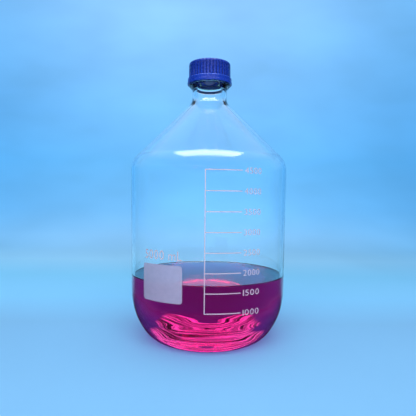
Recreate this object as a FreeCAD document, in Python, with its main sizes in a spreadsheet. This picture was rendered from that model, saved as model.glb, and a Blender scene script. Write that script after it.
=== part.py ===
import FreeCAD, Part
import math
import os
import re
import Sketcher

# Media bottle for 5000 mL with a screw cap. Millimetres, +Z up, the origin on the table under the
# bottle's axis, and the front of the printed scale towards -Y.

SIZES = {
    # glass body
    "body_radius": 91.0,
    "wall": 3.15,
    "heel_width": 43.0,
    "heel_height": 62.0,
    "foot_width": 4.0,
    "punt_height": 7.0,
    "floor_thickness": 4.6,
    # shoulder cone and neck
    "shoulder_height": 211.4,
    "cone_angle": 44.1,
    "shoulder_round": 24.0,
    "neck_radius": 19.75,
    "neck_round": 14.0,
    "neck_length": 19.85,
    "bore_radius": 15.5,
    # transfer bead under the thread
    "bead_radius": 23.6,
    "bead_band": 1.5,
    "bead_angle": 46.0,
    "bead_round": 1.1,
    "bead_cove": 3.0,
    # screw finish
    "finish_height": 19.5,
    "thread_core": 20.8,
    "thread_depth": 1.4,
    "thread_pitch": 4.0,
    "thread_lead": 4.3,
    "thread_clear": 3.6,
    "ridge_base": 2.0,
    "ridge_crest": 0.9,
    "ridge_root": 0.4,
    "rim_radius": 20.0,
    "rim_height": 2.9,
    "rim_round": 1.2,
    "groove_height": 1.5,
    "groove_depth": 0.6,
    "groove_slope": 0.35,
    # pouring ring
    "ring_play": 0.05,
    "ring_cover": 1.1,
    "ring_skirt_wall": 0.85,
    "ring_plug_wall": 1.1,
    "ring_plug_depth": 3.5,
    "ring_lift": 0.1,
    "ring_catch": 0.35,
    "ring_catch_height": 0.3,
    "ring_round": 0.35,
    # seal disc
    "seal_thickness": 2.0,
    "seal_play": 0.1,
    "seal_catch": 0.3,
    "seal_side_play": 0.3,
    # screw cap
    "cap_gap": 0.4,
    "cap_top_wall": 1.7,
    "cap_radius": 24.15,
    "cap_draft": 0.3,
    "cap_edge_round": 1.8,
    "skirt_radius": 25.8,
    "skirt_height": 6.9,
    "skirt_step": 0.35,
    "skirt_lip": 2.5,
    "skirt_round": 0.7,
    "rib_count": 40,
    "channel_radius": 1.15,
    "channel_depth": 0.55,
    "thread_clearance": 0.55,
    "thread_grip": 0.8,
    "thread_play": 0.15,
    "catch_band": 0.3,
    "mouth_chamfer": 0.8,
    # contents
    "liquid_level": 80.3,
    "liquid_gap": 0.05,
    # printed scale and writing patch
    "film_gap": 0.05,
    "film_thickness": 0.2,
    "line_width": 1.0,
    "scale_left": -3.15,
    "scale_right": 33.7,
    "mark_first": 53.4,
    "mark_step": 20.6,
    "mark_count": 8,
    "patch_width": 50.2,
    "patch_height": 39.2,
    "patch_bottom": 62.0,
    "patch_round": 3.0,
    "patch_angle": -32.4,
}

# Lengths that follow from the sizes. The heel is an oval of two tangent arcs, the wide side arc and
# the tight foot arc, and "joint" is the direction from their centres to the point where they meet.
DERIVED = {
    "foot_radius": "body_radius - heel_width",
    "heel_chord": "sqrt(heel_width ^ 2 + heel_height ^ 2)",
    "heel_stretch": "(heel_height - heel_width) * heel_chord",
    "side_arc": "(heel_chord ^ 2 + heel_stretch) / (2 * heel_width)",
    "foot_arc": "(heel_chord ^ 2 - heel_stretch) / (2 * heel_height)",
    "joint_across": "(side_arc - heel_width) / (side_arc - foot_arc)",
    "joint_down": "(heel_height - foot_arc) / (side_arc - foot_arc)",
    "neck_corner": "shoulder_height + (body_radius - neck_radius) * tan(cone_angle)",
    "bead_top": "neck_corner + neck_length",
    "bead_slope": "(bead_radius - neck_radius) * tan(bead_angle)",
    "rim_top": "bead_top + finish_height",
    "core_top": "rim_top - rim_height - groove_height",
    "groove_radius": "rim_radius - groove_depth",
    "thread_crest": "thread_core + thread_depth",
    "thread_bottom": "bead_top + thread_lead",
    "thread_length": "core_top - thread_clear - thread_bottom",
    "ring_inside": "rim_radius + ring_play",
    "ring_bottom": "core_top + groove_slope + ring_lift",
    "ring_top": "rim_top + ring_cover",
    "plug_outside": "bore_radius - ring_play",
    "seal_bottom": "ring_top + seal_play",
    "ceiling": "seal_bottom + seal_thickness + seal_play",
    "cap_top": "ceiling + cap_top_wall",
    "cap_bottom": "bead_top + cap_gap",
    "cap_bore": "thread_crest + thread_clearance",
    "cap_crest": "thread_crest - thread_grip",
    "cap_ridge": "thread_bottom - (ridge_base + ridge_crest) / 2 - thread_play",
    "seal_radius": "cap_crest + seal_catch",
    "catch_top": "seal_bottom - seal_play",
    "film_radius": "body_radius + film_gap",
}

doc = FreeCAD.newDocument("media_bottle")
sheet = doc.addObject("Spreadsheet::Sheet", "Sizes")
for row, (name, size) in enumerate(SIZES.items(), start=1):
    sheet.set("A%d" % row, name)
    sheet.set("B%d" % row, str(size))
    sheet.setAlias("B%d" % row, name)
doc.recompute()


def bound(text):
    """The expression with derived lengths written out and each size read from the sheet."""

    def written(match):
        word = match.group()
        if word in DERIVED:
            return "(" + bound(DERIVED[word]) + ")"
        return "Sizes." + word if word in SIZES else word

    return re.sub(r"[a-z]\w*", written, text)


def number(text):
    """What the expression comes to."""
    return float(sheet.evalExpression(bound(text)))


def bind(item, **properties):
    for name, text in properties.items():
        item.setExpression(name, bound(text))


def place(item, **coordinates):
    for axis, text in coordinates.items():
        item.setExpression("Placement.Base." + axis, bound(text))


def added(kind, label):
    item = doc.addObject(kind, label)
    item.Label = label
    return item


def origin_feature(body, role):
    return next(feature for feature in body.Origin.OriginFeatures if feature.Role == role)


def new_sketch(body, name, plane):
    sketch = body.newObject("Sketcher::SketchObject", name)
    sketch.AttachmentSupport = (origin_feature(body, plane), [""])
    sketch.MapMode = "FlatFace"
    return sketch


def pin_size(sketch, text, kind, *where):
    """A dimension of the sketch that follows an expression."""
    index = sketch.addConstraint(Sketcher.Constraint(kind, *where, number(text)))
    sketch.setExpression("Constraints[%d]" % index, bound(text))


def pin_point(sketch, across, up, geometry, end):
    """Holds one point of the sketch at a place, where "0" is on the axis."""
    for text, kind, axis in ((across, "DistanceX", -2), (up, "DistanceY", -1)):
        if text == "0":
            sketch.addConstraint(Sketcher.Constraint("PointOnObject", geometry, end, axis))
        else:
            pin_size(sketch, text, kind, -1, 1, geometry, end)


def arc_curve(centre, first, last, side):
    """The arc from first to last, counter-clockwise for side 1 and clockwise for side -1."""
    start, end = (first, last) if side == 1 else (last, first)
    from_angle = math.atan2(start.y - centre.y, start.x - centre.x)
    to_angle = math.atan2(end.y - centre.y, end.x - centre.x)
    if to_angle < from_angle:
        to_angle += 2 * math.pi
    circle = Part.Circle(centre, FreeCAD.Vector(0, 0, 1), (first - centre).Length)
    return Part.ArcOfCircle(circle, from_angle, to_angle)


def rounded_corner(before, corner, after, radius):
    """Centre, first and last point of the arc that rounds a corner, and its side."""
    back = (before - corner).normalize()
    ahead = (after - corner).normalize()
    middle = (back + ahead).normalize()
    reach = radius / middle.cross(ahead).Length
    along = reach * middle.dot(ahead)
    side = 1 if ahead.cross(back).z > 0 else -1
    return corner + middle * reach, corner + back * along, corner + ahead * along, side


def arc_centre(first, last, radius, side):
    chord = last - first
    left = FreeCAD.Vector(-chord.y, chord.x, 0).normalize()
    rise = math.sqrt(radius ** 2 - (chord.Length / 2) ** 2)
    return first + chord * 0.5 + left * (rise * side)


def add_outline(sketch, corners):
    """A closed outline through corners given as (across, up, extra). The extra, if any, is
    ("round", radius) for a rounded corner between straight edges, or ("arc", radius, side) where an
    arc leads to the next corner, with its centre on the left of the way for side 1."""
    count = len(corners)
    extras = [corner[2] if len(corner) > 2 else ("sharp",) for corner in corners]
    spots = [FreeCAD.Vector(number(corner[0]), number(corner[1]), 0) for corner in corners]
    leave, arrive, roundings = list(spots), list(spots), {}
    for i, extra in enumerate(extras):
        if extra[0] == "round":
            after = spots[(i + 1) % count]
            roundings[i] = rounded_corner(spots[i - 1], spots[i], after, number(extra[1]))
            arrive[i], leave[i] = roundings[i][1:3]
    edges = []
    for i, extra in enumerate(extras):
        first, last = leave[i], arrive[(i + 1) % count]
        if extra[0] == "arc":
            centre = arc_centre(first, last, number(extra[1]), extra[2])
            edges.append(sketch.addGeometry(arc_curve(centre, first, last, extra[2]), False))
            pin_size(sketch, extra[1], "Radius", edges[i])
        else:
            edges.append(sketch.addGeometry(Part.LineSegment(first, last), False))
    clockwise = [extra[0] == "arc" and extra[2] == -1 for extra in extras]
    for i, extra in enumerate(extras):
        into = (edges[i - 1], 1 if clockwise[i - 1] else 2)
        out = (edges[i], 2 if clockwise[i] else 1)
        if extra[0] != "round":
            sketch.addConstraint(Sketcher.Constraint("Coincident", *into, *out))
            pin_point(sketch, *corners[i][:2], *out)
            continue
        arc = sketch.addGeometry(arc_curve(*roundings[i]), False)
        point = sketch.addGeometry(Part.Point(spots[i]), True)
        first, last = (1, 2) if roundings[i][3] == 1 else (2, 1)
        sketch.addConstraint(Sketcher.Constraint("Tangent", *into, arc, first))
        sketch.addConstraint(Sketcher.Constraint("Tangent", arc, last, *out))
        sketch.addConstraint(Sketcher.Constraint("PointOnObject", point, 1, edges[i - 1]))
        sketch.addConstraint(Sketcher.Constraint("PointOnObject", point, 1, edges[i]))
        pin_size(sketch, extra[1], "Radius", arc)
        pin_point(sketch, *corners[i][:2], point, 1)


def turned(body, kind, name, corners):
    """A revolution or a groove: the outline turned about the body's upright axis."""
    sketch = new_sketch(body, name + "_profile", "XZ_Plane")
    add_outline(sketch, corners)
    feature = body.newObject("PartDesign::" + kind, name)
    feature.Profile = sketch
    feature.ReferenceAxis = (origin_feature(body, "Z_Axis"), [""])
    feature.Angle = 360
    doc.recompute()
    body.Tip = feature


def threaded(body, name, root, core, crest, middle):
    """A right-handed ridge that winds up from the height called middle."""
    sketch = new_sketch(body, name + "_profile", "XZ_Plane")
    add_outline(sketch, [
        (root, middle + " - ridge_base / 2"),
        (core, middle + " - ridge_base / 2"),
        (crest, middle + " - ridge_crest / 2"),
        (crest, middle + " + ridge_crest / 2"),
        (core, middle + " + ridge_base / 2"),
        (root, middle + " + ridge_base / 2"),
    ])
    ridge = body.newObject("PartDesign::AdditiveHelix", name)
    ridge.Profile = sketch
    ridge.ReferenceAxis = (origin_feature(body, "Z_Axis"), [""])
    ridge.Mode = 0
    ridge.LeftHanded = False
    bind(ridge, Pitch="thread_pitch", Height="thread_length")
    doc.recompute()
    body.Tip = ridge


def hollow_corners(gap):
    """The inside of the glass, from the domed floor to the mouth, drawn in by a gap."""
    inset = "(wall + %s)" % gap
    bore = "(bore_radius - %s)" % gap
    foot = "(foot_arc - %s)" % inset
    floor = "(punt_height + floor_thickness + %s)" % gap
    rise = "(foot_arc - %s)" % floor
    dome = "((foot_radius ^ 2 + %s ^ 2 - %s ^ 2) / (2 * (%s - %s)))" % (rise, foot, foot, rise)
    share = "(%s / (%s + %s))" % (dome, dome, foot)
    shoulder = "(shoulder_height - %s * tan((90 - cone_angle) / 2))" % inset
    neck = "(%s + (body_radius - %s - %s) * tan(cone_angle))" % (shoulder, inset, bore)
    valley = ("foot_radius * " + share, "%s - %s + (%s + %s) * %s" % (floor, dome, rise, dome, share))
    joint = ("foot_radius + %s * joint_across" % foot, "foot_arc - %s * joint_down" % foot)
    return [
        ("0", floor, ("arc", dome, -1)),
        (*valley, ("arc", foot, 1)),
        (*joint, ("arc", "side_arc - " + inset, 1)),
        ("body_radius - " + inset, "heel_height"),
        ("body_radius - " + inset, shoulder, ("round", "shoulder_round - " + inset)),
        (bore, neck, ("round", "neck_round + " + inset)),
        (bore, "rim_top - rim_round", ("arc", "rim_round", -1)),
        (bore + " + rim_round", "rim_top"),
        ("0", "rim_top"),
    ]


def make_glass_bottle():
    """Blown in one piece: push-up, foot, heel, wall, cone shoulder, neck, bead, thread and rim."""
    body = added("PartDesign::Body", "glass_bottle")
    dome = "((foot_radius - foot_width) ^ 2 + punt_height ^ 2) / (2 * punt_height)"
    joint = ("foot_radius + foot_arc * joint_across", "foot_arc - foot_arc * joint_down")
    turned(body, "Revolution", "blown_form", [
        ("0", "punt_height", ("arc", dome, -1)),
        ("foot_radius - foot_width", "0"),
        ("foot_radius", "0", ("arc", "foot_arc", 1)),
        (*joint, ("arc", "side_arc", 1)),
        ("body_radius", "heel_height"),
        ("body_radius", "shoulder_height", ("round", "shoulder_round")),
        ("neck_radius", "neck_corner", ("round", "neck_round")),
        ("neck_radius", "bead_top - bead_band - bead_slope", ("round", "bead_cove")),
        ("bead_radius", "bead_top - bead_band", ("round", "bead_round")),
        ("bead_radius", "bead_top", ("round", "bead_round / 2")),
        ("thread_core", "bead_top"),
        ("thread_core", "core_top"),
        ("groove_radius", "core_top + groove_slope"),
        ("groove_radius", "core_top + groove_height - groove_slope"),
        ("rim_radius", "core_top + groove_height"),
        ("rim_radius", "rim_top", ("round", "rim_round")),
        ("0", "rim_top"),
    ])
    root = "thread_core - ridge_root"
    threaded(body, "glass_thread", root, "thread_core", "thread_crest", "thread_bottom")
    turned(body, "Groove", "hollow", hollow_corners("0"))
    return body


def make_pouring_ring():
    """Clips over the rim with a catch in the groove, and lines the mouth with a short plug."""
    body = added("PartDesign::Body", "pouring_ring")
    catch = "ring_inside - ring_catch"
    turned(body, "Revolution", "ring_form", [
        ("plug_outside - ring_plug_wall", "rim_top - ring_plug_depth"),
        ("plug_outside", "rim_top - ring_plug_depth"),
        ("plug_outside", "rim_top"),
        ("ring_inside", "rim_top"),
        ("ring_inside", "ring_bottom + ring_catch_height + ring_catch"),
        (catch, "ring_bottom + ring_catch_height"),
        (catch, "ring_bottom"),
        ("ring_inside + ring_skirt_wall", "ring_bottom"),
        ("ring_inside + ring_skirt_wall", "ring_top", ("round", "ring_round")),
        ("plug_outside - ring_plug_wall", "ring_top", ("round", "ring_round")),
    ])
    return body


def make_cap_seal():
    """A punched disc that lies in the cap above the pouring ring."""
    disc = added("Part::Cylinder", "cap_seal")
    bind(disc, Radius="seal_radius", Height="seal_thickness")
    place(disc, z="seal_bottom")
    return disc


def make_screw_cap():
    """Moulded cap: skirt band, grip ribs, rounded top edge, seal seat with its catch, and thread."""
    body = added("PartDesign::Body", "screw_cap")
    turned(body, "Revolution", "cap_form", [
        ("0", "cap_bottom"),
        ("skirt_radius", "cap_bottom", ("round", "skirt_round")),
        ("skirt_radius", "cap_bottom + skirt_lip"),
        ("skirt_radius - skirt_step", "cap_bottom + skirt_lip + skirt_step"),
        ("skirt_radius - skirt_step", "cap_bottom + skirt_height", ("round", "skirt_round")),
        ("cap_radius", "cap_bottom + skirt_height"),
        ("cap_radius - cap_draft", "cap_top", ("round", "cap_edge_round")),
        ("0", "cap_top"),
    ])
    cut_channels(body)
    seat = "seal_radius + seal_side_play"
    catch_low = "catch_top - 2 * catch_band"
    turned(body, "Groove", "cap_hollow", [
        ("0", "cap_bottom"),
        ("cap_bore + mouth_chamfer", "cap_bottom"),
        ("cap_bore", "cap_bottom + mouth_chamfer"),
        ("cap_bore", catch_low + " - (cap_bore - cap_crest)"),
        ("cap_crest", catch_low),
        ("cap_crest", "catch_top - catch_band"),
        (seat, "catch_top"),
        (seat, "ceiling"),
        ("0", "ceiling"),
    ])
    threaded(body, "cap_thread", "cap_bore + ridge_root", "cap_bore", "cap_crest", "cap_ridge")
    return body


def cut_channels(body):
    """Round channels up the grip, which leave the ribs between them."""
    sketch = new_sketch(body, "channel_profile", "XY_Plane")
    bind(sketch, **{"AttachmentOffset.Base.z": "cap_bottom + skirt_height"})
    across = "cap_radius + channel_radius - channel_depth"
    centre = FreeCAD.Vector(number(across), 0, 0)
    circle = Part.Circle(centre, FreeCAD.Vector(0, 0, 1), number("channel_radius"))
    edge = sketch.addGeometry(circle, False)
    pin_size(sketch, "channel_radius", "Radius", edge)
    pin_point(sketch, across, "0", edge, 3)
    channel = body.newObject("PartDesign::Pocket", "channel")
    channel.Profile = sketch
    channel.Type = "ThroughAll"
    channel.Reversed = True
    doc.recompute()
    pattern = body.newObject("PartDesign::PolarPattern", "channels")
    pattern.Originals = [channel]
    pattern.Axis = (origin_feature(body, "Z_Axis"), [""])
    pattern.Angle = 360
    bind(pattern, Occurrences="round(rib_count)")
    body.Tip = pattern
    doc.recompute()


def make_liquid():
    """The contents: the inside of the bottle, up to the level."""
    body = added("PartDesign::Body", "liquid")
    turned(body, "Revolution", "full_inside", hollow_corners("liquid_gap"))
    turned(body, "Groove", "air", [
        ("0", "liquid_level"),
        ("body_radius", "liquid_level"),
        ("body_radius", "rim_top + ring_cover"),
        ("0", "rim_top + ring_cover"),
    ])
    return body


def make_film(label, bottom, height):
    """A thin sleeve around the wall, from which a print is cut out."""
    outside = added("Part::Cylinder", label + "_outside")
    inside = added("Part::Cylinder", label + "_inside")
    bind(outside, Radius="film_radius + film_thickness", Height=height)
    bind(inside, Radius="film_radius", Height=height)
    place(outside, z=bottom)
    place(inside, z=bottom)
    sleeve = added("Part::Cut", label + "_sleeve")
    sleeve.Base = outside
    sleeve.Tool = inside
    return sleeve


def make_bar(label, left, width, bottom, height):
    """A bar that reaches through the front wall, in front view from left and bottom."""
    bar = added("Part::Box", label)
    bind(bar, Length=width, Width="2 * body_radius", Height=height)
    place(bar, x=left, y="-2 * body_radius", z=bottom)
    return bar


def make_volume_scale():
    """The upright line of the scale and its graduation marks."""
    low = "mark_first - line_width / 2"
    tall = "mark_step * (mark_count - 1) + line_width"
    reach = "scale_right - scale_left"
    bars = [make_bar("upright", "scale_left - line_width / 2", "line_width", low, tall)]
    for i in range(int(number("mark_count"))):
        level = "%s + %d * mark_step" % (low, i)
        bars.append(make_bar("mark_%d" % i, "scale_left", reach, level, "line_width"))
    film = make_film("scale", low, tall)
    lines = []
    for bar in bars:
        line = added("Part::Common", bar.Label + "_line")
        line.Base = film
        line.Tool = bar
        lines.append(line)
    scale = added("Part::MultiFuse", "volume_scale")
    scale.Shapes = lines
    return scale


def make_writing_patch():
    """The field to write on, beside the scale."""
    bar = make_bar("patch_bar", "-patch_width / 2", "patch_width", "patch_bottom", "patch_height")
    doc.recompute()
    block = added("Part::Fillet", "patch_block")
    block.Base = bar
    radius = number("patch_round")
    through = [
        index
        for index, edge in enumerate(bar.Shape.Edges, start=1)
        if abs(edge.tangentAt(edge.FirstParameter).y) > 0.5
    ]
    block.Edges = [(index, radius, radius) for index in through]
    patch = added("Part::Common", "writing_patch")
    patch.Base = make_film("patch", "patch_bottom", "patch_height")
    patch.Tool = block
    patch.Placement.Rotation = FreeCAD.Rotation(FreeCAD.Vector(0, 0, 1), 0)
    bind(patch, **{"Placement.Rotation.Angle": "patch_angle"})
    return patch


nodes = [
    make_glass_bottle(),
    make_pouring_ring(),
    make_cap_seal(),
    make_screw_cap(),
    make_liquid(),
    make_volume_scale(),
    make_writing_patch(),
]
doc.recompute()
failed = [item.Label for item in doc.Objects if {"Invalid", "Error"} & set(item.State)]
if failed:
    raise RuntimeError("these objects did not compute: " + ", ".join(failed))
for node in nodes:
    if node.Shape.isNull() or not node.Shape.isValid() or not node.Shape.Solids:
        raise RuntimeError(node.Label + " is not a sound solid")

os.makedirs("parts", exist_ok=True)
for node in nodes:
    node.Shape.exportStep("parts/%s.step" % node.Label)
    print(node.Label, len(node.Shape.Solids), round(node.Shape.Volume / 1000, 2), "mL")
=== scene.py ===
"""Looks of the media bottle: clear glass, purple-pink contents, white print, blue screw cap."""
import math

import bmesh
import bpy
import numpy as np
from mathutils import Matrix, Vector

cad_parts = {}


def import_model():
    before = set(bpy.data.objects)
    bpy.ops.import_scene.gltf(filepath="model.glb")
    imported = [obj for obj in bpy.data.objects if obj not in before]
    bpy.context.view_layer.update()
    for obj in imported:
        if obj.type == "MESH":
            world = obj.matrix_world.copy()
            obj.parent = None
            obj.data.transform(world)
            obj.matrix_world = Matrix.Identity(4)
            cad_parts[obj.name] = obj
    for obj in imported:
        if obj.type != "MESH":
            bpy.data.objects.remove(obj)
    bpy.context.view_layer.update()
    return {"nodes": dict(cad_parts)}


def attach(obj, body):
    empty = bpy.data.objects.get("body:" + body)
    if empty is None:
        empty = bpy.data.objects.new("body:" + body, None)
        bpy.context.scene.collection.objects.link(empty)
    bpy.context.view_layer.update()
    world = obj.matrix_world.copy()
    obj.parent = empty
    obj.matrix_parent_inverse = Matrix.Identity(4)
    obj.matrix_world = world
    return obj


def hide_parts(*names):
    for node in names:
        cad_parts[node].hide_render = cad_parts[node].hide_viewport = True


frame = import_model()
NODES = frame["nodes"]
MM = 0.001

# ---------------------------------------------------------------- sizes of the glass, in mm
R, WALL = 91.0, 3.15
HEEL_W, HEEL_H = 43.0, 62.0
FOOT_W, PUNT, FLOOR = 4.0, 7.0, 4.6
SHOULDER, CONE, SHOULDER_R = 211.4, math.radians(44.1), 24.0
NECK_R, NECK_ROUND, NECK_LEN, BORE = 19.75, 14.0, 19.85, 15.5
BEAD_R, BEAD_BAND, BEAD_ANGLE, BEAD_ROUND, COVE = 23.6, 1.5, math.radians(46.0), 1.1, 3.0
FINISH, CORE, DEPTH, PITCH = 19.5, 20.8, 1.4, 4.0
LEAD, CLEAR, RIDGE_BASE, RIDGE_CREST = 4.3, 3.6, 2.0, 0.9
RIM_R, RIM_H, RIM_ROUND = 20.0, 2.9, 1.2
GROOVE_H, GROOVE_D, GROOVE_S = 1.5, 0.6, 0.35
LEVEL = 80.3
FILM_R, FILM_T, LINE = 91.05, 0.2, 1.0
AROUND = 192

# the heel is two arcs that meet in one tangent
FOOT_R = R - HEEL_W
CHORD = math.hypot(HEEL_W, HEEL_H)
STRETCH = (HEEL_H - HEEL_W) * CHORD
SIDE_ARC = (CHORD ** 2 + STRETCH) / (2 * HEEL_W)
FOOT_ARC = (CHORD ** 2 - STRETCH) / (2 * HEEL_H)
ACROSS = (SIDE_ARC - HEEL_W) / (SIDE_ARC - FOOT_ARC)
DOWN = (HEEL_H - FOOT_ARC) / (SIDE_ARC - FOOT_ARC)

NECK_CORNER = SHOULDER + (R - NECK_R) * math.tan(CONE)
BEAD_TOP = NECK_CORNER + NECK_LEN
RIM_TOP = BEAD_TOP + FINISH
CORE_TOP = RIM_TOP - RIM_H - GROOVE_H
THREAD_LOW = BEAD_TOP + LEAD
THREAD_LEN = CORE_TOP - CLEAR - THREAD_LOW


# ---------------------------------------------------------------- profiles
def arc(centre, first, last, side, step=4.0):
    """Points along an arc, counter-clockwise for side 1."""
    a = math.atan2(first[1] - centre[1], first[0] - centre[0])
    b = math.atan2(last[1] - centre[1], last[0] - centre[0])
    if side == 1 and b < a:
        b += 2 * math.pi
    if side == -1 and b > a:
        b -= 2 * math.pi
    radius = math.dist(centre, first)
    count = max(2, round(abs(math.degrees(b - a)) / step), round(abs(b - a) * radius / 3.0))
    return [
        (centre[0] + radius * math.cos(t), centre[1] + radius * math.sin(t))
        for t in np.linspace(a, b, count + 1)
    ]


def outline(corners, longest=6.0):
    """The open outline through corners (across, up, extra). A corner may be rounded, ("round",
    radius), or start an arc to the next one, ("arc", radius, side)."""
    runs = []
    for i, corner in enumerate(corners):
        here, extra = corner[:2], corner[2] if len(corner) > 2 else ("sharp",)
        if extra[0] == "round":
            c = Vector(here)
            back = (Vector(corners[i - 1][:2]) - c).normalized()
            ahead = (Vector(corners[i + 1][:2]) - c).normalized()
            middle = (back + ahead).normalized()
            sine = abs(middle.x * ahead.y - middle.y * ahead.x)
            reach = extra[1] / sine
            along = reach * middle.dot(ahead)
            side = 1 if ahead.x * back.y - ahead.y * back.x > 0 else -1
            runs.append(arc(c + middle * reach, c + back * along, c + ahead * along, side))
        elif extra[0] == "arc":
            a, b = Vector(here), Vector(corners[i + 1][:2])
            chord = b - a
            left = Vector((-chord.y, chord.x)).normalized()
            rise = math.sqrt(extra[1] ** 2 - (chord.length / 2) ** 2)
            centre = a + chord * 0.5 + left * (rise * extra[2])
            runs.append(arc(centre, a, b, extra[2]))
        else:
            runs.append([here])
    points = []
    for run in runs:
        for p in run:
            p = (float(p[0]), float(p[1]))
            if points and math.dist(points[-1], p) < 1e-4:
                continue
            if points:
                last = points[-1]
                steps = math.ceil(math.dist(last, p) / longest)
                across, up = p[0] - last[0], p[1] - last[1]
                points += [
                    (last[0] + across * k / steps, last[1] + up * k / steps)
                    for k in range(1, steps)
                ]
            points.append(p)
    return points


def hollow(gap):
    """The inside of the glass from the domed floor to the rim, drawn in by gap."""
    inset, bore = WALL + gap, BORE - gap
    foot, floor = FOOT_ARC - inset, PUNT + FLOOR + gap
    rise = FOOT_ARC - floor
    dome = (FOOT_R ** 2 + rise ** 2 - foot ** 2) / (2 * (foot - rise))
    share = dome / (dome + foot)
    low = SHOULDER - inset * math.tan((math.pi / 2 - CONE) / 2)
    neck = low + (R - inset - bore) * math.tan(CONE)
    return [
        (0.0, floor, ("arc", dome, -1)),
        (FOOT_R * share, floor - dome + (rise + dome) * share, ("arc", foot, 1)),
        (FOOT_R + foot * ACROSS, FOOT_ARC - foot * DOWN, ("arc", SIDE_ARC - inset, 1)),
        (R - inset, HEEL_H),
        (R - inset, low, ("round", SHOULDER_R - inset)),
        (bore, neck, ("round", NECK_ROUND + inset)),
        (bore, RIM_TOP - RIM_ROUND, ("arc", RIM_ROUND, -1)),
        (bore + RIM_ROUND, RIM_TOP),
    ]


def outside():
    """The outside of the glass from the push-up to the rim; the thread comes later, so the finish
    has closely spaced rows."""
    dome = ((FOOT_R - FOOT_W) ** 2 + PUNT ** 2) / (2 * PUNT)
    slope = (BEAD_R - NECK_R) * math.tan(BEAD_ANGLE)
    low = outline([
        (0.0, PUNT, ("arc", dome, -1)),
        (FOOT_R - FOOT_W, 0.0),
        (FOOT_R, 0.0, ("arc", FOOT_ARC, 1)),
        (FOOT_R + FOOT_ARC * ACROSS, FOOT_ARC - FOOT_ARC * DOWN, ("arc", SIDE_ARC, 1)),
        (R, HEEL_H),
        (R, SHOULDER, ("round", SHOULDER_R)),
        (NECK_R, NECK_CORNER, ("round", NECK_ROUND)),
        (NECK_R, BEAD_TOP - BEAD_BAND - slope, ("round", COVE)),
        (BEAD_R, BEAD_TOP - BEAD_BAND, ("round", BEAD_ROUND)),
        (BEAD_R, BEAD_TOP, ("round", BEAD_ROUND / 2)),
        (CORE, BEAD_TOP),
    ])
    high = outline([
        (CORE, BEAD_TOP),
        (CORE, CORE_TOP),
        (RIM_R - GROOVE_D, CORE_TOP + GROOVE_S),
        (RIM_R - GROOVE_D, CORE_TOP + GROOVE_H - GROOVE_S),
        (RIM_R, CORE_TOP + GROOVE_H),
        (RIM_R, RIM_TOP, ("round", RIM_ROUND)),
        (0.0, RIM_TOP),
    ], longest=0.22)
    up_to_rim = [p for p in high if p[0] > RIM_R - RIM_ROUND - 0.01]
    return low[:-1] + up_to_rim


# ---------------------------------------------------------------- meshes
def piece(name, points, faces, material, body, smooth=True):
    """A mesh object; with a body's name it belongs to that body of the part."""
    mesh = bpy.data.meshes.new(name)
    mesh.from_pydata([tuple(p) for p in points], [], faces)
    mesh.validate()
    obj = bpy.data.objects.new(name, mesh)
    bpy.context.scene.collection.objects.link(obj)
    if smooth:
        mesh.polygons.foreach_set("use_smooth", [True] * len(mesh.polygons))
    mesh.materials.append(material)
    if body:
        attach(obj, body)
    return obj


def lathed(profile, push):
    """Points and faces of the closed form that the profile sweeps round the axis. The profile
    starts and ends on the axis; push gives each row's change of radius and height all round."""
    angles = np.linspace(0, 2 * math.pi, AROUND, endpoint=False)
    rows = profile[1:-1]
    points = []
    for i, (r, z) in enumerate(rows):
        out, up = push(i, r, z, angles)
        radius, height = (r + out) * MM, (z + up + 0 * angles) * MM
        points += list(zip(radius * np.cos(angles), radius * np.sin(angles), height))
    points += [(0, 0, profile[0][1] * MM), (0, 0, profile[-1][1] * MM)]
    first, last = len(points) - 2, len(points) - 1
    top_row = (len(rows) - 1) * AROUND
    faces = []
    for a in range(0, top_row, AROUND):
        b = a + AROUND
        for j in range(AROUND):
            k = (j + 1) % AROUND
            faces.append((a + j, a + k, b + k, b + j))
    for j in range(AROUND):
        k = (j + 1) % AROUND
        faces.append((first, k, j))
        faces.append((last, top_row + j, top_row + k))
    return points, faces


def grown(value, none, full):
    """0 up to none and 1 from full on, straight between; none may be the larger one."""
    return min(1.0, max(0.0, (value - none) / (full - none)))


def ripple(z, angles, phase):
    """Slow unevenness of blown glass, from 0 to 1 round the wall."""
    wave = (
        np.sin(3 * angles + phase + z / 37)
        + 0.7 * np.sin(5 * angles - 1.7 * phase - z / 23)
        + 0.45 * np.sin(11 * angles + 2.3 * phase + z / 61)
        + 0.6 * math.sin(z / 9 + phase)
    )
    return 0.5 + wave / 5.5


def rings(r, angles):
    """Rings that the turning mould leaves in the base."""
    height, apart = 0.12, 9.0
    wander = 0.9 * np.sin(2 * angles + 1.0)
    return height * np.sin(2 * math.pi * r / apart + wander) * min(1.0, abs(r) / 10)


def thread(z, angles):
    """Height of the screw ridge above the core in every direction."""
    turn = angles / (2 * math.pi)
    high = np.zeros_like(angles)
    total = THREAD_LEN / PITCH
    for k in range(3):
        along = turn + k
        centre = THREAD_LOW + PITCH * along
        side = (RIDGE_BASE / 2 - np.abs(z - centre)) / ((RIDGE_BASE - RIDGE_CREST) / 2)
        fade = np.clip(np.minimum(along, total - along) / 0.07, 0, 1)
        high = np.maximum(high, DEPTH * np.clip(side, 0, 1) * fade)
    return high


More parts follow.
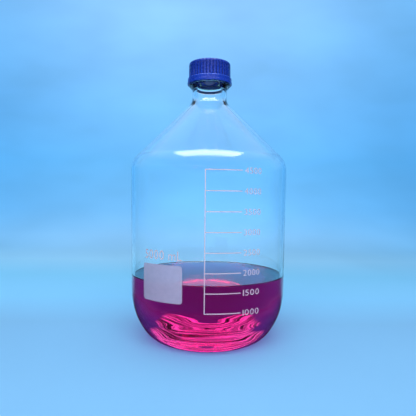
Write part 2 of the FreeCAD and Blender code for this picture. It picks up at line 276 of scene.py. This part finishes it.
def make_glass(material):
    """The blown bottle: the outside up to the rim, and the inside down to the floor."""
    outer = outside()
    inner = outline(hollow(0.0))[::-1]
    split = len(outer)
    outer_depth, inner_depth = 0.10, 0.16

    def push(i, r, z, angles):
        # the ripple fades out towards the neck and the middle of the base
        near = grown(z, 285, 260) * grown(r, 30, 50)
        if i + 1 < split:
            if THREAD_LOW - 2 < z < CORE_TOP - 0.5 and r > CORE - 0.01:
                return thread(z, angles), 0.0
            foot = FOOT_R - FOOT_W
            fade = grown(r, foot, foot - 6) if z < PUNT + 0.1 else 0.0
            return -outer_depth * near * ripple(z, angles, 0.4), fade * rings(r, angles)
        fade = grown(z, 48, 28)
        wave = inner_depth * near * (ripple(z, angles, 2.1) - 0.5)
        return wave + fade * rings(r - z, angles), 0.0

    points, faces = lathed(outer + inner, push)
    obj = piece("bottle_glass", points, faces, material, "bottle")
    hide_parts("glass_bottle")


def make_contents(material):
    """The liquid, with its edge drawn up the glass. It reaches a little into the wall, so that
    light passes from liquid to glass with no air between them."""
    into, climb, length = -0.2, 1.3, 1.6
    wall = [p for p in outline(hollow(into), longest=3.0) if p[1] < LEVEL + climb - 1.0]
    edge = R - WALL - into
    from_wall = (
        0.0, 0.2, 0.45, 0.8, 1.2, 1.7, 2.3, 3.0, 4.0, 5.5, 7.5,
        10.0, 14.0, 20.0, 30.0, 45.0, 65.0,
    )
    top = [(edge - d, LEVEL + climb * math.exp(-d / length)) for d in from_wall]
    profile = wall + top + [(0.0, LEVEL)]
    points, faces = lathed(profile, lambda i, r, z, angles: (0.0 * angles, 0.0))
    obj = piece("contents", points, faces, material, "bottle")
    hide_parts("liquid")


# ---------------------------------------------------------------- print on the wall
def on_wall(across, up, out):
    """A point of the print: across is the length round the wall from the front, to the right."""
    turn = across / R
    r = FILM_R + out
    return (r * math.sin(turn) * MM, -r * math.cos(turn) * MM, up * MM)


def plate(across, low, high):
    """A thin plate on the wall between two edges given at each step across."""
    points, faces = [], []
    for x, a, b in zip(across, low, high):
        points += [on_wall(x, z, out) for z, out in ((a, 0), (b, 0), (b, FILM_T), (a, FILM_T))]
    last = len(across) - 1
    for i in range(last):
        p, q = 4 * i, 4 * i + 4
        faces += [
            (p + 3, q + 3, q + 2, p + 2), (p, p + 1, q + 1, q),
            (p + 1, p + 2, q + 2, q + 1), (p, q, q + 3, p + 3),
        ]
    faces += [(0, 3, 2, 1), tuple(4 * last + k for k in (0, 1, 2, 3))]
    return points, faces


def bar(left, right, low, high):
    steps = max(2, math.ceil((right - left) / 2.0) + 1)
    return plate(np.linspace(left, right, steps), [low] * steps, [high] * steps)


def glyph(letter):
    """A raised letter of height 1 as points (across, up, depth) and faces."""
    curve = bpy.data.curves.new("figure", "FONT")
    curve.body, curve.size, curve.extrude = letter, 1.0, 0.02
    curve.resolution_u = 6
    obj = bpy.data.objects.new("figure", curve)
    bpy.context.scene.collection.objects.link(obj)
    bpy.context.view_layer.update()
    shown = obj.evaluated_get(bpy.context.evaluated_depsgraph_get())
    mesh = bpy.data.meshes.new_from_object(shown)
    bm = bmesh.new()
    bm.from_mesh(mesh)
    bmesh.ops.remove_doubles(bm, verts=bm.verts, dist=1e-4)
    bmesh.ops.triangulate(bm, faces=bm.faces)
    points = np.array([v.co for v in bm.verts])
    faces = [tuple(v.index for v in f.verts) for f in bm.faces]
    bm.free()
    bpy.data.objects.remove(obj)
    bpy.data.meshes.remove(mesh)
    bpy.data.curves.remove(curve)
    points[:, 0] -= points[:, 0].min()
    return points, faces


def words(text, height, left, middle, width):
    """Raised figures on the wall, evenly spaced, by their size, left edge, height of their middle
    and width in all."""
    gap, space = 0.13, 0.3
    row, at, parts = [], 0.0, []
    for letter in text:
        if letter == " ":
            at += space
            continue
        points, faces = glyph(letter)
        row.append((points, faces, at))
        at += points[:, 0].max() + gap
    tall = max(points[:, 1].max() for points, faces, start in row)
    spread, scale = width / (at - gap), height / tall
    for points, faces, start in row:
        raised = []
        for x, y, z in points:
            across, up = left + (start + x) * spread, middle + (y - tall / 2) * scale
            raised.append(on_wall(across, up, FILM_T if z > 0 else 0.0))
        parts.append((raised, faces))
    return joined(parts)


def joined(parts):
    points, faces = [], []
    for p, f in parts:
        base = len(points)
        points += list(p)
        faces += [tuple(i + base for i in face) for face in f]
    return points, faces


def make_print(material):
    """Upright line, eight marks with their figures, and the full volume."""
    first, step, marks = 53.4, 20.6, 8
    line_x, end_x = -3.15, 33.7
    figure_height, figure_gap, figure_width = 6.1, 2.6, 20.0
    volume_height, volume_level, volume_start, volume_turn = 9.6, 111.2, -46.4, 29.8
    half = LINE / 2
    left, right = R * math.asin(line_x / R), R * math.asin(end_x / R)
    parts = [bar(left - half, left + half, first - half, first + step * (marks - 1) + half)]
    for i in range(marks):
        z = first + i * step
        parts.append(bar(left + half, right, z - half, z + half))
        figures = str(1000 + 500 * i)
        parts.append(words(figures, figure_height, right + figure_gap, z, figure_width))
    parts.append(words("5000 mL", volume_height, math.radians(volume_start) * R, volume_level,
                       math.radians(volume_turn) * R))
    points, faces = joined(parts)
    obj = piece("scale_print", points, faces, material, "bottle", smooth=False)
    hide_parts("volume_scale")


def make_field(material):
    """The field to write on: a rounded plate of matt enamel."""
    low, tall, corner = 62.0, 39.2, 3.0
    straight_width, turn = 50.2, -32.4
    half = R * math.asin(straight_width / 2 / R)
    middle = math.radians(turn) * R
    curve = [corner * (1 - math.cos(t)) for t in np.linspace(0, math.pi / 2, 7)]
    between = list(np.linspace(-half + corner, half - corner, 24))[1:-1]
    across = sorted([-half + c for c in curve] + between + [half - c for c in curve])
    lows, highs = [], []
    for x in across:
        d = max(0.0, abs(x) - (half - corner))
        cut = corner - math.sqrt(max(0.0, corner ** 2 - d ** 2))
        lows.append(low + cut)
        highs.append(low + tall - cut)
    points, faces = plate([middle + x for x in across], lows, highs)
    obj = piece("writing_field", points, faces, material, "bottle", smooth=False)
    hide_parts("writing_patch")


# ---------------------------------------------------------------- materials
class Paint:
    """Short ways to add nodes to a new material, or to the world."""

    def __init__(self, owner):
        self.owner = owner
        owner.use_nodes = True
        self.tree = owner.node_tree
        self.tree.nodes.clear()
        sky = isinstance(owner, bpy.types.World)
        self.out = self.node("ShaderNodeOutputWorld" if sky else "ShaderNodeOutputMaterial")

    def node(self, kind, **settings):
        n = self.tree.nodes.new(kind)
        for key, value in settings.items():
            if hasattr(n, key) and key not in n.inputs:
                setattr(n, key, value)
            else:
                n.inputs[key].default_value = value
        return n

    def link(self, a, b):
        self.tree.links.new(a, b)

    def put(self, value, socket):
        """Sets a socket to a number or colour, or links an output to it."""
        if isinstance(value, tuple):
            socket.default_value = (*value, 1)
        elif isinstance(value, (int, float)):
            socket.default_value = value
        else:
            self.link(value, socket)

    def place(self):
        """The shaded point, in the object's coordinates."""
        return self.node("ShaderNodeTexCoord").outputs["Object"]

    def part(self, vector, axis):
        n = self.node("ShaderNodeSeparateXYZ")
        self.link(vector, n.inputs[0])
        return n.outputs[axis]

    def flattened(self, vector):
        """The vector with no height."""
        n = self.node("ShaderNodeVectorMath", operation="MULTIPLY")
        self.link(vector, n.inputs[0])
        n.inputs[1].default_value = (1, 1, 0)
        return n.outputs[0]

    def measured(self, kind, vector, output):
        n = self.node("ShaderNodeVectorMath", operation=kind)
        self.link(vector, n.inputs[0])
        return n.outputs[output]

    def maths(self, kind, a, b=0.0):
        n = self.node("ShaderNodeMath", operation=kind)
        self.put(a, n.inputs[0])
        self.put(b, n.inputs[1])
        return n.outputs[0]

    def mixed(self, factor, a, b):
        n = self.node("ShaderNodeMix", data_type="RGBA")
        for value, socket in ((factor, n.inputs[0]), (a, n.inputs[6]), (b, n.inputs[7])):
            self.put(value, socket)
        return n.outputs[2]

    def ranged(self, value, low, high, start=0.3, stop=0.7):
        """low at start and high at stop, straight between."""
        n = self.node("ShaderNodeMapRange")
        n.inputs["From Min"].default_value, n.inputs["From Max"].default_value = start, stop
        n.inputs["To Min"].default_value, n.inputs["To Max"].default_value = low, high
        self.link(value, n.inputs["Value"])
        return n.outputs["Result"]

    def eased(self, value, start, stop):
        """0 at start and 1 at stop, with an even curve between."""
        n = self.node("ShaderNodeMapRange", interpolation_type="SMOOTHSTEP")
        n.inputs["From Min"].default_value, n.inputs["From Max"].default_value = start, stop
        self.link(value, n.inputs["Value"])
        return n.outputs["Result"]

    def band(self, value, start, full, fading, end):
        """1 from full to fading, easing to 0 at start and at end."""
        rise, fall = self.eased(value, start, full), self.eased(value, end, fading)
        return self.maths("MULTIPLY", rise, fall)

    def ramp(self, value, stops):
        n = self.node("ShaderNodeValToRGB")
        while len(n.color_ramp.elements) < len(stops):
            n.color_ramp.elements.new(0.5)
        for element, (at, colour) in zip(n.color_ramp.elements, stops):
            element.position, element.color = at, (*colour, 1)
        self.link(value, n.inputs["Fac"])
        return n.outputs["Color"]

    def noise(self, scale, detail=2.0, rough=0.5, stretch=(1, 1, 1)):
        shift = self.node("ShaderNodeMapping", Scale=stretch)
        noise = self.node("ShaderNodeTexNoise", Scale=scale, Detail=detail, Roughness=rough)
        self.link(self.place(), shift.inputs["Vector"])
        self.link(shift.outputs["Vector"], noise.inputs["Vector"])
        return noise.outputs["Fac"]

    def bump(self, height, strength, distance):
        n = self.node("ShaderNodeBump", Strength=strength, Distance=distance)
        self.link(height, n.inputs["Height"])
        return n.outputs["Normal"]

    def principled(self, **settings):
        n = self.node("ShaderNodeBsdfPrincipled")
        for key, value in settings.items():
            n.inputs[key.replace("_", " ")].default_value = value
        self.link(n.outputs["BSDF"], self.out.inputs["Surface"])
        return n

    def either(self, factor, a, b):
        """Puts the mix of two shaders on the surface."""
        n = self.node("ShaderNodeMixShader")
        for output, socket in zip((factor, a.outputs[0], b.outputs[0]), n.inputs):
            self.link(output, socket)
        self.link(n.outputs[0], self.out.inputs["Surface"])

    def lets_lamps_through(self, shader, colour):
        """Lamps shine through the surface, tinted, as through the real thing."""
        shadow = self.node("ShaderNodeLightPath").outputs["Is Shadow Ray"]
        self.either(shadow, shader, self.node("ShaderNodeBsdfTransparent", Color=(*colour, 1)))


def material_paint(name):
    return Paint(bpy.data.materials.new(name))


WHITE = (1, 1, 1)


def glass_material():
    p = material_paint("borosilicate_glass")
    s = p.principled(Base_Color=(0.985, 0.995, 1.0, 1), Transmission_Weight=1.0, IOR=1.47)
    p.link(p.ranged(p.noise(14.0, 3.0, 0.6), 0.0, 0.012), s.inputs["Roughness"])
    slow = p.noise(9.0, 2.0, 0.5, (1, 1, 0.25))
    streaks = p.noise(75.0, 2.0, 0.6, (1, 1, 0.04))
    drawn = p.maths("ADD", slow, p.maths("MULTIPLY", streaks, 0.15))
    p.link(p.bump(drawn, 0.25, 0.0006), s.inputs["Normal"])
    # where the wall is wet no air lies behind it, so it hardly mirrors on the inside
    inside = p.node("ShaderNodeNewGeometry").outputs["Backfacing"]
    below = p.eased(p.part(p.place(), "Z"), (LEVEL + 1.5) * MM, (LEVEL + 0.5) * MM)
    wet = p.maths("MULTIPLY", inside, below)
    p.link(p.mixed(wet, WHITE, (0.06, 0.06, 0.06)), s.inputs["Specular Tint"])
    p.lets_lamps_through(s, (0.93, 0.95, 0.96))
    return p.owner


def liquid_material():
    p = material_paint("purple_contents")
    s = p.principled(Base_Color=(1, 1, 1, 1), Roughness=0.0, Transmission_Weight=1.0, IOR=1.333)
    # it mirrors at its free surface, and hardly where the glass touches it
    wall = p.eased(p.part(p.place(), "Z"), (LEVEL - 0.1) * MM, (LEVEL - 0.3) * MM)
    p.link(p.mixed(wall, WHITE, (0.12, 0.12, 0.12)), s.inputs["Specular Tint"])
    p.link(p.bump(p.noise(30.0, 1.0), 0.05, 0.0003), s.inputs["Normal"])
    v = p.node("ShaderNodeVolumeAbsorption", Color=(0.905, 0.03, 0.60, 1), Density=34.0)
    p.link(v.outputs["Volume"], p.out.inputs["Volume"])
    p.lets_lamps_through(s, (0.96, 0.96, 0.96))
    return p.owner


def enamel_material(name, colour, alpha, grain):
    """Thin fired enamel that lets a part of the light through."""
    p = material_paint(name)
    s = p.principled(Roughness=0.55, IOR=1.5)
    dull = [c * 0.97 for c in colour]
    p.link(p.ramp(p.noise(grain, 3.0, 0.6), [(0.3, dull), (0.7, colour)]), s.inputs["Base Color"])
    cover = p.ranged(p.noise(grain * 0.6, 2.0, 0.7), alpha - 0.03, alpha + 0.03)
    p.link(cover, s.inputs["Alpha"])
    p.link(p.bump(p.noise(grain * 2, 2.0), 0.3, 0.00004), s.inputs["Normal"])
    return p.owner


def plastic_material(name, colour, rough, painted_light=None):
    """Moulded polypropylene: satin, with a faint texture and paler patches at random; a function
    given last paints shade and highlight into its colour.
    """
    p = material_paint(name)
    s = p.principled(IOR=1.49)
    pale = [c * 1.12 + 0.004 for c in colour]
    tint = p.ramp(p.noise(160.0, 3.0, 0.6), [(0.3, colour), (0.75, pale)])
    # the function given last paints shade and highlight into the tint
    p.link(painted_light(p, tint) if painted_light else tint, s.inputs["Base Color"])
    p.link(p.ranged(p.noise(420.0, 2.0, 0.6), rough - 0.06, rough + 0.08), s.inputs["Roughness"])
    p.link(p.bump(p.noise(1500.0, 2.0, 0.6), 0.25, 0.00003), s.inputs["Normal"])
    return p.owner


def cap_painted_shade_and_highlight(p, tint):
    """Painted shade and painted highlight: darker in the channels between the ribs, paler on the
    ledge of the skirt band.
    """
    # the colours of the painted shade in the channels and the painted highlight on the ledge
    channel_painted_shade, ledge_painted_highlight = (0.002, 0.014, 0.15), (0.024, 0.10, 0.60)
    # where each begins, is full, begins to fade and ends: metres from the axis or above the table
    channel_radii = (0.02310, 0.02330, 0.02372, 0.02412)
    channel_end, channel_full = 0.3232, 0.3216
    ledge_heights = (0.30690, 0.30725, 0.30765, 0.30785)
    where = p.place()
    radius, up = p.measured("LENGTH", p.flattened(where), "Value"), p.part(where, "Z")
    inside = p.band(radius, *channel_radii)
    # painted shade: the colour darkens in the channels between the ribs, below their top
    painted_shade_mask = p.maths("MULTIPLY", inside, p.eased(up, channel_end, channel_full))
    # painted highlight: the colour pales on the ledge at the top of the skirt band
    painted_highlight_mask = p.band(up, *ledge_heights)
    return p.mixed(painted_highlight_mask, p.mixed(painted_shade_mask, tint, channel_painted_shade), ledge_painted_highlight)


def rubber_material():
    p = material_paint("white_silicone")
    s = p.principled(IOR=1.43)
    tints = [(0.3, (0.42, 0.50, 0.74)), (0.7, (0.48, 0.56, 0.80))]
    p.link(p.ramp(p.noise(90.0, 2.0), tints), s.inputs["Base Color"])
    p.link(p.ranged(p.noise(300.0, 2.0), 0.5, 0.65), s.inputs["Roughness"])
    return p.owner


# ---------------------------------------------------------------- the object
def dress(node, material):
    """Gives a piece of the CAD part its material."""
    mesh = NODES[node].data
    mesh.materials.clear()
    mesh.materials.append(material)


make_glass(glass_material())
make_contents(liquid_material())
make_print(enamel_material("fired_enamel", (0.54, 0.46, 0.56), 0.66, 260.0))
make_field(enamel_material("matt_enamel", (0.39, 0.37, 0.52), 0.60, 320.0))
dress("screw_cap", plastic_material("cap_polypropylene", (0.004, 0.031, 0.30), 0.26, cap_painted_shade_and_highlight))
dress("pouring_ring", plastic_material("ring_polypropylene", (0.012, 0.07, 0.58), 0.32))
dress("cap_seal", rubber_material())


# ---------------------------------------------------------------- floor, backdrop and light
# the glass mirrors the lit surroundings where its ray's Y is over the first of these; where it is
# under the second, card and world are painted dark in reflections, a painted reflection of a dark
# room
BEHIND_FULL, BEHIND_NONE = 0.75, 0.5
# the colour of the painted dark reflection
DARK_REFLECTION_PAINT = (0.01, 0.01, 0.012)
THROUGH_GAIN = 0.17


def shown_rays(p):
    """1 for the rays that see the surroundings directly, in a reflection or through the glass, and
    1 for those that see them in a reflection alone."""
    path = p.node("ShaderNodeLightPath")
    # a ray through clear glass counts as glossy too
    shown = p.maths("MAXIMUM", path.outputs["Is Camera Ray"], path.outputs["Is Glossy Ray"])
    through = path.outputs["Is Transmission Ray"]
    return shown, p.maths("SUBTRACT", path.outputs["Is Glossy Ray"], through)


def painted_dark_reflection(p, mirrored, way):
    """1 for the reflections of what isn't behind the bottle, which are painted dark: a painted
    reflection of a dark room before it.
    """
    return p.maths("MULTIPLY", mirrored, p.eased(p.part(way, "Y"), BEHIND_FULL, BEHIND_NONE))


def through_gain(p):
    """Makes up for the light that the glass mirrors away before the backdrop shows through it."""
    through = p.node("ShaderNodeLightPath").outputs["Is Transmission Ray"]
    return p.maths("ADD", p.maths("MULTIPLY", through, THROUGH_GAIN), 1.0)


def sweep():
    """A seamless floor that curves up into a backdrop behind the bottle."""
    back, bend, high, wide, front = 1.5, 0.6, 1.35, 3.0, -3.0
    line = [(y, 0.0) for y in np.linspace(front, back - bend, 24)]
    line += [
        (back - bend + bend * math.sin(t), bend - bend * math.cos(t))
        for t in np.linspace(0, math.pi / 2, 20)[1:]
    ]
    line += [(back, z) for z in np.linspace(bend, high, 8)[1:]]
    columns = np.linspace(-wide, wide, 17)
    points = [(x, y, z) for y, z in line for x in columns]
    n = len(columns)
    faces = [
        (i * n + j, i * n + j + 1, (i + 1) * n + j + 1, (i + 1) * n + j)
        for i in range(len(line) - 1) for j in range(n - 1)
    ]

    p = material_paint("blue_card")
    s = p.principled(Roughness=0.85, IOR=1.3)
    where = p.place()
    across, deep, up = (p.part(where, axis) for axis in "XYZ")
    # near the bottle the card is pale and lit by the lamps; away from it, it is darker and glows
    aside = p.maths("SUBTRACT", p.maths("ABSOLUTE", across), 0.6)
    before = p.maths("SUBTRACT", -0.5, deep)
    away = p.maths("MAXIMUM", deep, p.maths("MAXIMUM", aside, before))
    pale = [(0.3, (0.172, 0.435, 0.75)), (0.7, (0.18, 0.45, 0.77))]
    near_card = p.ramp(p.noise(3.0, 4.0, 0.6), pale)
    card = p.mixed(p.eased(away, 0.1, 0.95), near_card, (0.05, 0.12, 0.20))
    shown, mirrored = shown_rays(p)
    dark_reflection = painted_dark_reflection(p, mirrored, p.measured("NORMALIZE", p.flattened(where), "Vector"))
    # painted reflection: for reflected rays the card's colour is painted dark before the bottle
    p.link(p.mixed(dark_reflection, card, DARK_REFLECTION_PAINT), s.inputs["Base Color"])
    # painted light: the glow rises from none near the bottle, dips at the bend and grows up the
    # backdrop, like the fall of the lamps' light
    run = p.maths("DIVIDE", p.maths("ADD", away, up), 3.0)
    glow = p.ramp(run, [
        (0.02, (0, 0, 0)),
        (0.07, (0.03, 0.15, 0.24)),
        (0.14, (0.065, 0.25, 0.38)),
        (0.223, (0.18, 0.40, 0.60)),
        (0.373, (0.195, 0.46, 0.78)),
        (0.467, (0.135, 0.43, 0.81)),
        (0.597, (0.105, 0.42, 0.83)),
        (0.693, (0.15, 0.45, 0.86)),
        (0.843, (0.24, 0.51, 0.88)),
    ])
    # painted shade: the glow darkens towards the sides
    from_middle = p.maths("ABSOLUTE", p.maths("ADD", across, 0.08))
    edge = p.mixed(p.eased(from_middle, 0.15, 1.15), WHITE, (0.55, 0.80, 0.90))
    tone = p.node("ShaderNodeMix", data_type="RGBA", blend_type="MULTIPLY")
    tone.inputs[0].default_value = 1.0
    p.link(glow, tone.inputs[6])
    p.link(edge, tone.inputs[7])
    p.link(tone.outputs[2], s.inputs["Emission Color"])
    uneven = p.ranged(p.noise(1.6, 3.0, 0.5, (1, 0.4, 2.2)), 0.86, 1.12)
    # no glow where the reflection is painted dark
    level = p.maths("MULTIPLY", uneven, p.maths("SUBTRACT", shown, dark_reflection))
    p.link(p.maths("MULTIPLY", level, through_gain(p)), s.inputs["Emission Strength"])
    piece("sweep", points, faces, p.owner, None)


def soft_box(name, x, near, far, strength, use, colour=WHITE, uneven=0.0):
    """A glowing sheet between two level edges (y, z), twice x wide. The camera doesn't see it; it
    acts on matt surfaces, is mirrored in shiny ones, or shines through the glass, as use says.
    One that shines through thins out towards its sides, and uneven, from 0 to 1, streaks it."""
    p = material_paint(name)
    e = p.node("ShaderNodeEmission", Strength=strength, Color=(*colour, 1))
    if use == "through":
        through = p.node("ShaderNodeLightPath").outputs["Is Transmission Ray"]
        streaks = p.noise(70.0, 3.0, 0.6, (0.5, 2, 4))
        dim, bright = strength * (1 - uneven), strength * (1 + 2 * uneven)
        level = p.ranged(streaks, dim, bright, 0.42, 0.68)
        p.link(p.maths("MULTIPLY", through, level), e.inputs["Strength"])
        side = p.maths("ABSOLUTE", p.part(p.place(), "X"))
        p.either(p.eased(side, x, x * 0.7), p.node("ShaderNodeBsdfTransparent"), e)
    else:
        p.link(e.outputs[0], p.out.inputs["Surface"])
    corners = [(-x, *near), (x, *near), (x, *far), (-x, *far)]
    obj = piece(name, corners, [(0, 1, 2, 3)], p.owner, None, smooth=False)
    obj.visible_camera = False
    obj.visible_diffuse = use == "matt"
    obj.visible_glossy = use == "mirrored"
    obj.visible_transmission = use != "matt"
    obj.visible_shadow = False


def world():
    """A pale blue surround with a grey ceiling; before the glass its reflections are painted dark.
    """
    studio = bpy.data.worlds.new("studio")
    bpy.context.scene.world = studio
    p = Paint(studio)
    way = p.node("ShaderNodeTexCoord").outputs["Generated"]
    shown, mirrored = shown_rays(p)
    fill = p.mixed(p.eased(p.part(way, "Y"), -0.2, -0.8), (0.42, 0.45, 0.49), (0.25, 0.26, 0.27))
    haze = p.mixed(p.eased(p.part(way, "Z"), 0.0, 0.3), (0.14, 0.43, 0.82), (0.20, 0.55, 0.98))
    # painted reflection: reflected rays see the world painted dark before the bottle
    around = p.mixed(painted_dark_reflection(p, mirrored, way), p.mixed(shown, fill, haze), DARK_REFLECTION_PAINT)
    overhead = p.mixed(shown, (0.22, 0.22, 0.24), (0.50, 0.66, 0.92))
    ceiling = p.mixed(mirrored, overhead, (0.34, 0.34, 0.38))
    sky = p.node("ShaderNodeBackground")
    p.link(p.mixed(p.eased(p.part(way, "Z"), 0.50, 0.72), around, ceiling), sky.inputs["Color"])
    p.link(sky.outputs[0], p.out.inputs["Surface"])


sweep()
world()
soft_box("front_box", 0.70, (-0.74, 1.3), (-0.03, 1.3), 6.8, "mirrored")
soft_box("key_box", 1.30, (-2.1, 0.7), (-1.25, 2.1), 5.4, "matt")
soft_box("top_box", 0.60, (-0.45, 1.7), (0.65, 1.7), 2.0, "matt")
soft_box("low_back_box", 0.42, (1.45, 1.2), (0.9, 1.8), 1.0, "through")
soft_box("back_box", 0.38, (0.95, 1.8), (0.48, 1.8), 14.0, "through")
# a pale card that stands behind the bottle, hidden by it, and lights up the contents
soft_box("glow_card", 0.027, (0.320, 0.0165), (0.16, 0.060), 1.05, "through",
         colour=(1.05, 3.4, 1.8), uneven=0.92)

# ---------------------------------------------------------------- camera
# focal length and the optical axis's row from the top are in pixels of a picture FRAME high
FRAME, SENSOR = 416.0, 36.0
FOCAL, AXIS_ROW = 421.83, 240.65
STANDS_AT = (0, -0.5067, 0.16735)
LOOKS_DOWN, LEANS = 0.0949, math.radians(0.6)

scene = bpy.context.scene
camera_data = bpy.data.cameras.new("camera")
camera = bpy.data.objects.new("camera", camera_data)
scene.collection.objects.link(camera)
scene.camera = camera
camera_data.sensor_width = SENSOR
camera_data.lens = FOCAL / FRAME * SENSOR
camera_data.shift_y = (AXIS_ROW - FRAME / 2) / FRAME
camera_data.clip_start, camera_data.clip_end = 0.01, 50
camera.location = STANDS_AT
tilt = Matrix.Rotation(math.radians(90) - LOOKS_DOWN, 3, "X")
camera.rotation_euler = (tilt @ Matrix.Rotation(LEANS, 3, "Z")).to_euler()

scene.view_settings.view_transform = "Standard"
scene.cycles.max_bounces = 24
scene.cycles.transmission_bounces = 24
scene.cycles.transparent_max_bounces = 12
